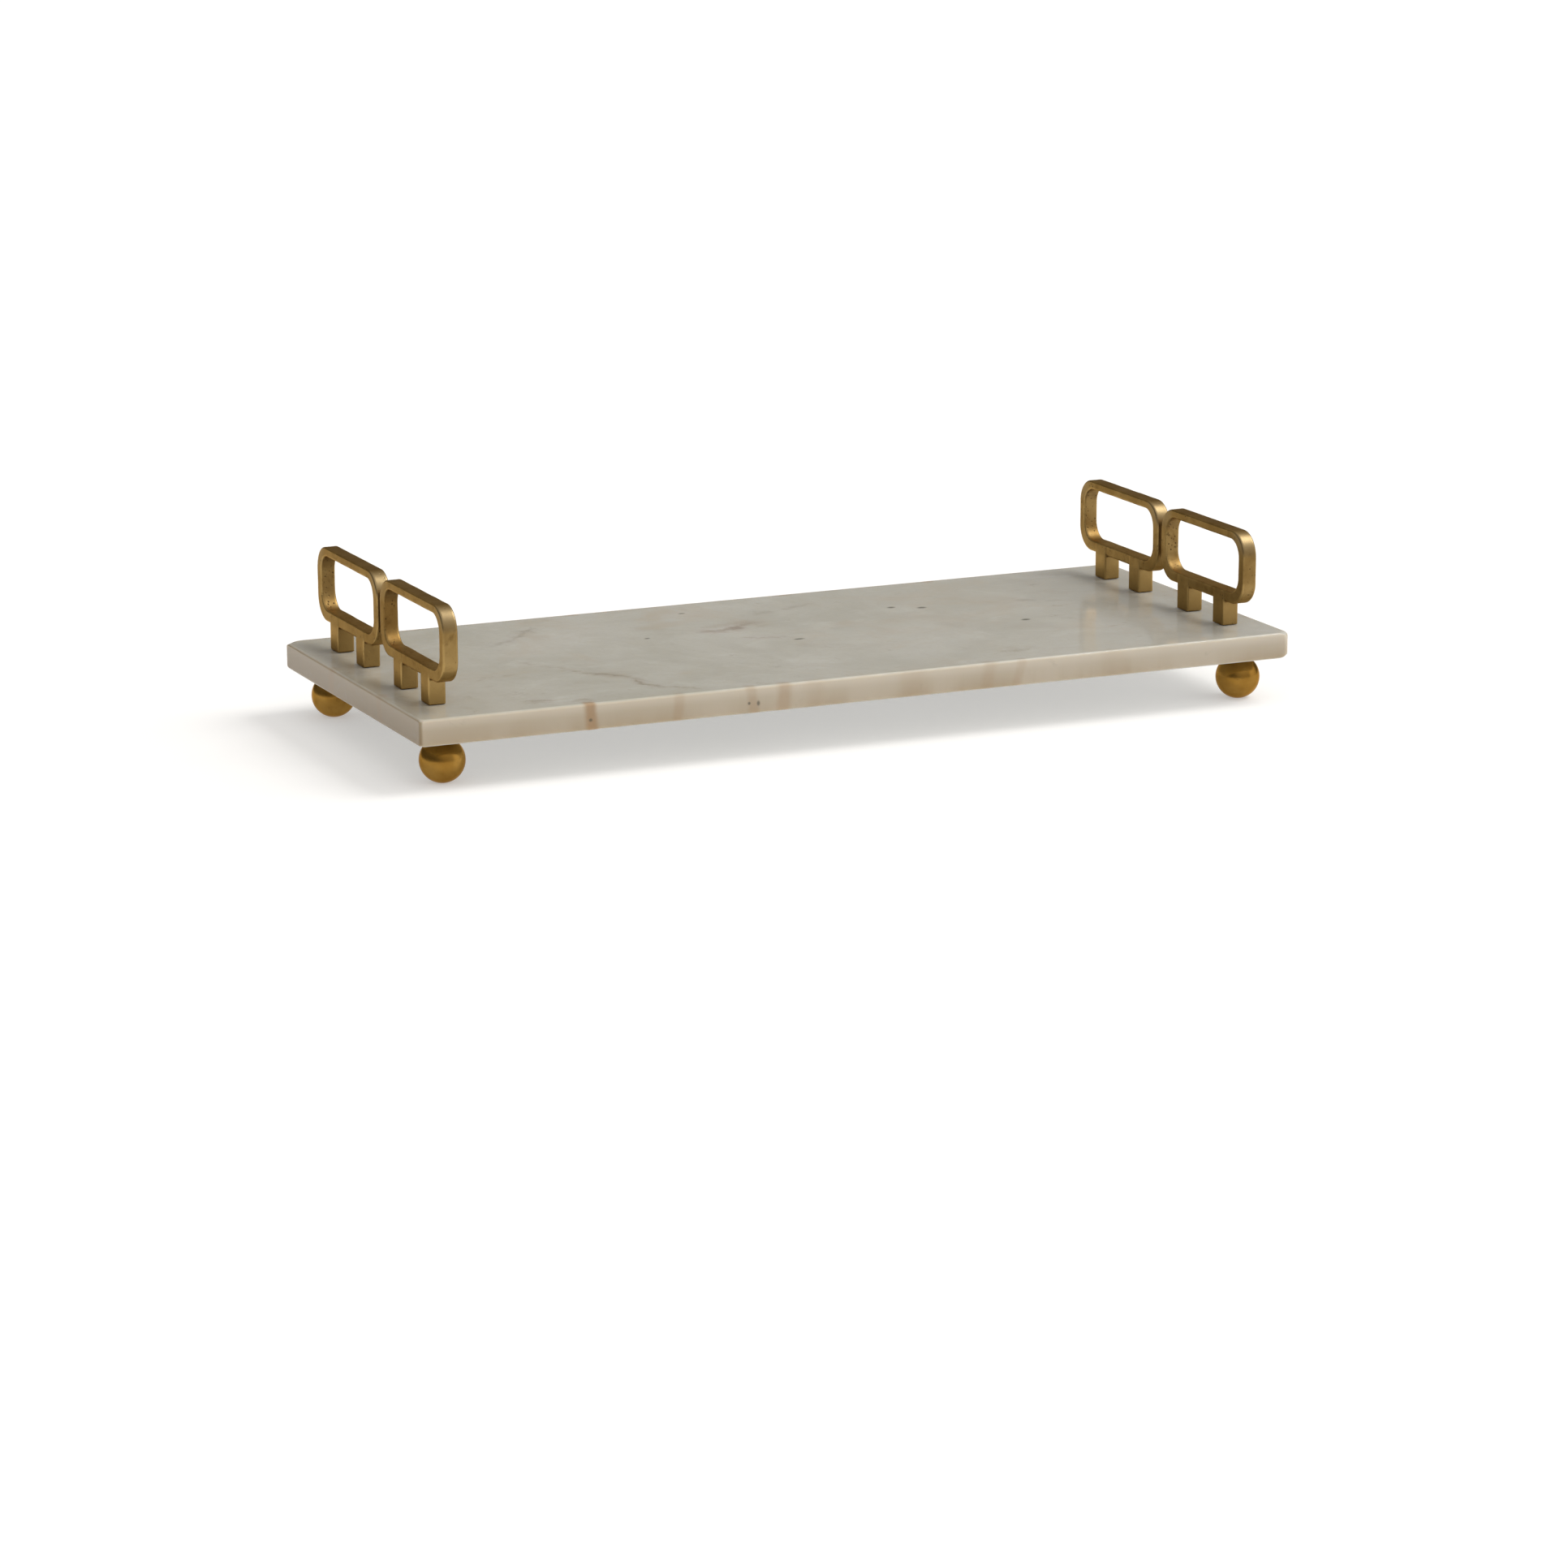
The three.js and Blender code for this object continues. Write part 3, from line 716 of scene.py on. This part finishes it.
def marble():
    """Polished cream marble: a cloudy grey-beige ground, soft brown veins that cross the slab, amber
    bands where they reach its sides, and small grey flecks."""
    s = Surface("polished_cream_marble")
    x, y, z = s.axes()
    cloud = s.noise(10, detail=6, roughness=0.62, distortion=0.8, seed=1)
    fog = s.noise(26, detail=5, roughness=0.6, distortion=0.5, seed=2)
    warm = s.noise(16, detail=4, roughness=0.55, distortion=1.2, seed=3)
    grain = s.noise(420, detail=4, roughness=0.7, seed=4)
    colour = s.mix(cloud.ramp(0.34, 0.68), GROUND_DEEP, GROUND_PALE)
    colour = s.mix(fog.ramp(0.50, 0.76) * 0.45, colour, GROUND_WHITE)
    colour = s.mix(fog.ramp(0.46, 0.26) * 0.40, colour, GROUND_OLIVE)
    colour = s.mix(warm.ramp(0.50, 0.74) * 0.50, colour, GROUND_WARM)
    colour = s.mix(grain.ramp(0.40, 0.80) * 0.20, colour, GROUND_OLIVE)
    # Painted light: the stone is painted paler towards the right end, where the key light falls, and
    # warmer round the left handle, a painted warm tint of the shade the loops cast there.
    colour = s.mix(x.ramp(-0.15, SLAB_END) * 0.22, colour, GROUND_WHITE)
    colour = s.mix(x.ramp(-0.16, -0.24) * 0.20, colour, GROUND_WARM)

    # The sawn sides cut warm layers in the stone. Painted shade makes the sides darker towards the bottom
    # and towards the left end, and the ends darker still; a painted highlight makes a pale band under the
    # top edge.
    upright = s.axes(s.true_normal())[2].math("ABSOLUTE").ramp(0.85, 0.35)
    layers = s.noise(30, detail=4, roughness=0.55, vector=s.stretched((1, 1, 0.15)), seed=5)
    depth = z.ramp(SLAB_TOP, SLAB_TOP - 14 * MM, smooth=False)
    colour = s.mix(upright * 0.75, colour, SIDE_PALE)
    # Painted shade: the warm layers darken the sides towards the bottom.
    colour = s.mix(upright * (layers.ramp(0.36, 0.66) * 0.6 + 0.4) * depth, colour, SIDE_LAYERS_AND_SHADE)
    # Painted shade: the sides are painted darker towards the left end.
    colour = s.mix(upright * x.ramp(0.05, -SLAB_END) * 0.40, colour, SIDE_LAYERS_AND_SHADE)
    # Painted highlight: a pale band on the sides just under the top edge.
    colour = s.mix(upright * z.ramp(SLAB_TOP - 7 * MM, SLAB_TOP - MM) * 0.45, colour, SIDE_PAINTED_GLOW)
    # Painted shade: both ends are painted darker and warmer, darkest towards the bottom.
    end_shade_colour = s.mix(depth, END_WARM_SHADE, END_DEEP_SHADE)
    at_end = x.math("ABSOLUTE").ramp(SLAB_END - 2 * MM, SLAB_END - 0.2 * MM)
    colour = s.mix(upright * at_end * 0.85, colour, end_shade_colour)

    wander = (s.noise(38, detail=5, roughness=0.6, seed=6) - 0.5) * VEIN_WANDER
    ragged = (s.noise(190, detail=4, roughness=0.65, seed=7) - 0.5) * VEIN_RAGGEDNESS
    patchy = s.noise(70, detail=3, roughness=0.6, seed=8)
    broken = patchy.ramp(0.36, 0.62)
    for px, py, degrees, lean, length, width, strength, tint in VEINS:
        turn = math.radians(degrees)
        dx = x - px + (z - SLAB_TOP) * lean
        dy = y - py
        across = (dx * -math.sin(turn) + dy * math.cos(turn) + wander + ragged).math("ABSOLUTE")
        along = (dx * math.cos(turn) + dy * math.sin(turn)).math("ABSOLUTE")
        ends = along.ramp(length / 2, length / 6) * broken
        halo = across.ramp(width * 2.6, 0) * ends * (strength * 0.6)
        core = across.ramp(width * 0.8, width * 0.1) * ends * (strength * 0.7)
        colour = s.mix(halo, colour, tint)
        colour = s.mix(core, colour, tuple(c * 0.78 for c in tint))
    for bands, along, across, half in ((LONG_SIDE_BANDS, x, y, SLAB_SIDE), (END_BANDS, y, x, SLAB_END)):
        for place, side, width, strength, lean in bands:
            offset = (along - place + (z - SLAB_TOP) * lean + ragged * 0.35).math("ABSOLUTE")
            near = (across * side).ramp(half - BAND_DEPTH, half - MM)
            amount = offset.ramp(width * 1.5, width * 0.35) * near * strength * (patchy * 0.7 + 0.5)
            colour = s.mix(amount.math("MINIMUM", 1.0), colour, AMBER)
    for px, py, pz, degrees, half_length, half_width, half_height in FLECKS:
        turn = math.radians(degrees)
        dx = x - px
        dy = y - py
        across = (dx * -math.sin(turn) + dy * math.cos(turn) + ragged * 0.3) * (1 / half_width)
        along = (dx * math.cos(turn) + dy * math.sin(turn)) * (1 / half_length)
        rise = (z - pz) * (1 / half_height)
        reach = (across * across + along * along + rise * rise).math("SQRT")
        colour = s.mix(reach.ramp(1.6, 0.4) * 0.75, colour, FLECK_GREY)

    crack = (s.noise(8, detail=7, roughness=0.62, distortion=0.8, seed=9) - 0.5).math("ABSOLUTE")
    colour = s.mix(crack.ramp(0.012, 0.0) * patchy.ramp(0.52, 0.70) * 0.30, colour, VEIN_GREY_BROWN)
    s.feed("Base Color", colour)

    smear = s.noise(40, detail=4, roughness=0.6, seed=10)
    s.feed("Roughness", smear.ramp(0.3, 0.75, smooth=False) * 0.07 + 0.07)
    s.set("Specular IOR Level", 0.30)
    s.set("Subsurface Weight", 0.55)
    s.set("Subsurface Scale", 6 * MM)
    s.set("Subsurface Radius", (1.0, 0.85, 0.65))
    s.feed("Normal", s.bump(s.noise(230, detail=3, seed=11), 0.012 * MM))
    return s.material


# How much of each colour brass still reflects at a glancing angle: lacquer and tarnish keep it golden.
BRASS_GRAZING_TINT = (0.90, 0.70, 0.48, 1)
# Brass where hands have rubbed the gold tone off, also paler to paint the highlight on the upper outer
# corners.
RUBBED_AND_HIGHLIGHT_BRASS = (0.250, 0.190, 0.102)


def brass(name, bright, dark, roughness, seed, pits=1.0, patina_and_side_shade=0.0, soiling=1.0):
    """Aged brass: slow tone changes, brown smudges, brushing, casting pits, darker inside corners and
    edges rubbed bright, with painted shade on the broad side faces, painted light on the legs and a
    painted highlight on the upper outer corners. The last three arguments scale the pits, the brown
    tone and painted shade of the broad faces, and the smudges."""
    s = Surface(name)
    edge = s.attribute("edge")
    inner = s.attribute("inner")
    tone = s.noise(46, detail=4, roughness=0.6, seed=seed)
    smudge = s.noise(150, detail=5, roughness=0.68, distortion=0.6, seed=seed + 1)
    brown = tuple(c * t for c, t in zip(dark, (0.50, 0.42, 0.30)))
    colour = s.mix(tone.ramp(0.35, 0.68), dark, bright)
    # The broad side faces of the loops are painted darker brown: partly the brown tone of faces less
    # rubbed than the edges, partly painted shade on faces turned from the light.
    broad = s.axes(s.true_normal())[0].math("ABSOLUTE").ramp(0.75, 0.97)
    broad = broad * edge.math("ABSOLUTE").ramp(0.6, 0.1)
    colour = s.mix(broad * patina_and_side_shade, colour, tuple(c * 0.45 for c in dark))
    colour = s.mix(smudge.ramp(0.49, 0.74) * 0.60 * soiling, colour, brown)
    tarnish = tuple(c * t for c, t in zip(dark, (1.1, 0.85, 0.4)))
    colour = s.mix(inner * tone.ramp(0.65, 0.40) * 0.25, colour, tarnish)
    speck = s.noise(520, detail=4, roughness=0.7, seed=seed + 2)
    colour = s.mix(speck.ramp(0.58, 0.78) * 0.35 * soiling, colour, brown)
    pitted = s.noise(75, detail=3, seed=seed + 3) + inner * 0.11
    pit = s.cells(430).ramp(0.30, 0.08) * pitted.ramp(0.52, 0.62) * pits
    colour = s.mix(pit * 0.85, colour, tuple(c * 0.4 for c in brown))
    # Painted light: the legs are painted lighter, standing in for the light that the marble throws back.
    z = s.axes()[2]
    legs = z.ramp(LEG_TOP + 4 * MM, LEG_TOP - 4 * MM) * z.ramp(SLAB_TOP - MM, SLAB_TOP)
    colour = s.mix(legs * 0.55, colour, tuple(c * 1.2 for c in bright))
    # Darker and rougher in the inside corners.
    inside_corner_darkening = edge.ramp(-0.25, -0.8) * smudge.ramp(0.30, 0.60)
    colour = s.mix(inside_corner_darkening * 0.8, colour, brown)
    rubbed = edge.ramp(0.25, 0.9) * tone.ramp(0.30, 0.62)
    colour = s.mix(rubbed * 0.55, colour, tuple(min(1, c * 1.35) for c in bright))
    # Paler on the upper outer corners: hand wear and a painted highlight.
    colour = s.mix(s.attribute("handled_and_highlight") * 0.85, colour, RUBBED_AND_HIGHLIGHT_BRASS)
    s.feed("Base Color", colour)

    fine = s.noise(1100, detail=3, roughness=0.6, seed=seed + 4)
    brushed = s.noise(700, detail=4, roughness=0.7, vector=s.stretched((1, 0.08, 1)), seed=seed + 5)
    gloss = (fine - 0.5) * 0.10 + (smudge - 0.5) * 0.20 * soiling + inside_corner_darkening * 0.15 - rubbed * 0.06
    s.feed("Roughness", gloss + inner * 0.10 + roughness)
    s.set("Metallic", 1.0)
    s.set("Specular Tint", BRASS_GRAZING_TINT)
    s.set("Coat Weight", 0.08)
    s.set("Coat Roughness", roughness)
    surface = s.bump(fine, 0.02 * MM, 0.5)
    surface = s.bump(brushed, 0.018 * MM, 0.5, after=surface)
    surface = s.bump(smudge, 0.06 * MM, 0.4, after=surface)
    s.feed("Normal", s.bump(pit * -1, 0.2 * MM, 0.8, after=surface))
    return s.material


def zinc():
    s = Surface("zinc_plated_steel")
    tone = s.noise(300, detail=4, seed=31)
    s.feed("Base Color", s.mix(tone.ramp(0.4, 0.65), (0.44, 0.44, 0.45), (0.60, 0.60, 0.59)))
    s.feed("Roughness", tone * 0.16 + 0.24)
    s.set("Metallic", 1.0)
    s.feed("Normal", s.bump(s.noise(1500, detail=2, seed=32), 0.01 * MM, 0.5))
    return s.material


FLOOR_GLOW = 0.38


def floor_paint():
    s = Surface("pale_studio_floor")
    mottle = s.noise(3, detail=3, seed=41)
    s.feed("Base Color", s.mix(mottle, (0.62, 0.62, 0.62), (0.64, 0.64, 0.64)))
    # A little light comes up through the floor, as on a photographer's table.
    s.set("Emission Color", (1, 1, 1, 1))
    s.set("Emission Strength", FLOOR_GLOW)
    s.feed("Roughness", mottle * 0.1 + 0.8)
    s.set("Specular IOR Level", 0.2)
    return s.material


# ---- the tray ---------------------------------------------------------------------------------------

marble_stone = marble()
satin = brass("satin_brass", (0.322, 0.213, 0.078), (0.222, 0.136, 0.042), 0.37, seed=21, patina_and_side_shade=0.35)
polished = brass("polished_brass", (0.375, 0.212, 0.046), (0.275, 0.140, 0.022), 0.23, seed=31, pits=0.2,
                 soiling=0.4)
turned_brass = brass("turned_insert_brass", (0.55, 0.42, 0.20), (0.45, 0.33, 0.15), 0.38, seed=41)
plated = zinc()

finish_piece(make_slab(), "marble_slab", marble_stone)

for seed, (handle, row) in enumerate(product(HANDLES, ROWS)):
    end = f"{handle}_{row}"
    link = make_link(f"{end}_link", f"{end}_brass_loop", 100 + seed)
    finish_piece(link, f"{end}_link", satin)
    for leg in ROWS:
        node = f"{end}_link_{leg}_screw"
        finish_piece(make_screw(node, f"{end}_{leg}_socket_screw"), node, plated)
        node = f"{end}_link_{leg}_washer"
        finish_piece(make_washer(node, f"{end}_{leg}_flat_washer"), node, plated)
    node = f"{end}_ball_foot"
    finish_piece(make_ball(node, f"{end}_brass_ball"), node, polished)
    node = f"{end}_foot_stud"
    finish_piece(make_stud(node, f"{end}_threaded_stud"), node, plated)
    node = f"{end}_foot_insert"
    finish_piece(make_insert(node, f"{end}_threaded_insert"), node, turned_brass)


# ---- studio -----------------------------------------------------------------------------------------

FLOOR_HALF = 40.0
CAMERA_AZIMUTH = math.radians(24.18)      # how far round to the left of the front the camera stands
CAMERA_ELEVATION = math.radians(13.745)
CAMERA_ROLL = math.radians(-0.2)
CAMERA_DISTANCE = 2.995
CAMERA_LENS = 120.1                       # focal length and sensor in millimetres
SENSOR_WIDTH = 36
CAMERA_REACH = 200
AIM_RIGHT = -0.0027                       # how far the camera is moved off the line to the origin
AIM_UP = -0.0444

KEY_DIRECTION = (0.62, -0.10, 0.78)
KEY_STRENGTH = 1.60
KEY_WIDTH = math.radians(33)
KEY_COLOUR = (1.0, 0.98, 0.95)
SOFTBOX_DIRECTION = (0.30, -0.62, 0.72)
WINDOW_DIRECTION = (0.90, -0.38, 0.22)
UPWARDS = (0, 0, 1)
# How much the softbox, the window and the ceiling add to the light of the walls and the horizon.
SOFTBOX = 0.51
WINDOW = 0.70
CEILING = 0.50
HORIZON = 0.19
ROOM_COLOUR = (1.0, 0.965, 0.915, 1)


def make_floor():
    bm = bmesh.new()
    bmesh.ops.create_grid(bm, x_segments=8, y_segments=8, size=FLOOR_HALF)
    mesh = bpy.data.meshes.new("studio_floor")
    bm.to_mesh(mesh)
    bm.free()
    floor = bpy.data.objects.new("studio_floor", mesh)
    bpy.context.scene.collection.objects.link(floor)
    floor.data.materials.append(floor_paint())


def make_camera():
    back = Vector((-math.sin(CAMERA_AZIMUTH) * math.cos(CAMERA_ELEVATION),
                   -math.cos(CAMERA_AZIMUTH) * math.cos(CAMERA_ELEVATION), math.sin(CAMERA_ELEVATION)))
    level = Vector((math.cos(CAMERA_AZIMUTH), -math.sin(CAMERA_AZIMUTH), 0))
    upright = back.cross(level)
    right = level * math.cos(CAMERA_ROLL) + upright * math.sin(CAMERA_ROLL)
    up = upright * math.cos(CAMERA_ROLL) - level * math.sin(CAMERA_ROLL)
    place = back * CAMERA_DISTANCE + right * AIM_RIGHT + up * AIM_UP
    data = bpy.data.cameras.new("camera")
    data.lens = CAMERA_LENS
    data.sensor_width = SENSOR_WIDTH
    data.clip_end = CAMERA_REACH
    camera = bpy.data.objects.new("camera", data)
    camera.matrix_world = Matrix((right, up, back)).transposed().to_4x4()
    camera.location = place
    bpy.context.scene.collection.objects.link(camera)
    bpy.context.scene.camera = camera


def make_light():
    """A wide soft light high on the right, a softbox in front and a window low on the right, in a room
    that is dim near the horizon."""
    data = bpy.data.lights.new("soft_key", "SUN")
    data.energy = KEY_STRENGTH
    data.angle = KEY_WIDTH
    data.color = KEY_COLOUR
    key = bpy.data.objects.new("soft_key", data)
    key.rotation_euler = Vector(KEY_DIRECTION).to_track_quat("Z", "Y").to_euler()
    bpy.context.scene.collection.objects.link(key)

    world = bpy.data.worlds.new("studio")
    bpy.context.scene.world = world
    world.use_nodes = True
    tree = world.node_tree
    background = tree.nodes["Background"]
    direction = tree.nodes.new("ShaderNodeTexCoord").outputs["Generated"]

    def facing(aim):
        """1 in the direction of aim, falling to 0 at right angles to it and to -1 behind it."""
        dot = tree.nodes.new("ShaderNodeVectorMath")
        dot.operation = "DOT_PRODUCT"
        tree.links.new(direction, dot.inputs[0])
        dot.inputs[1].default_value = Vector(aim).normalized()
        return Field(dot.outputs["Value"])

    softbox = facing(SOFTBOX_DIRECTION).ramp(0.25, 0.95) * SOFTBOX
    window = facing(WINDOW_DIRECTION).ramp(0.84, 0.97) * WINDOW
    ceiling = facing(UPWARDS).ramp(0.25, 1.0) * CEILING
    strength = softbox + window + ceiling + HORIZON
    tree.links.new(strength.socket, background.inputs["Strength"])
    background.inputs["Color"].default_value = ROOM_COLOUR


make_floor()
make_camera()
make_light()
bpy.context.scene.view_settings.view_transform = "Standard"
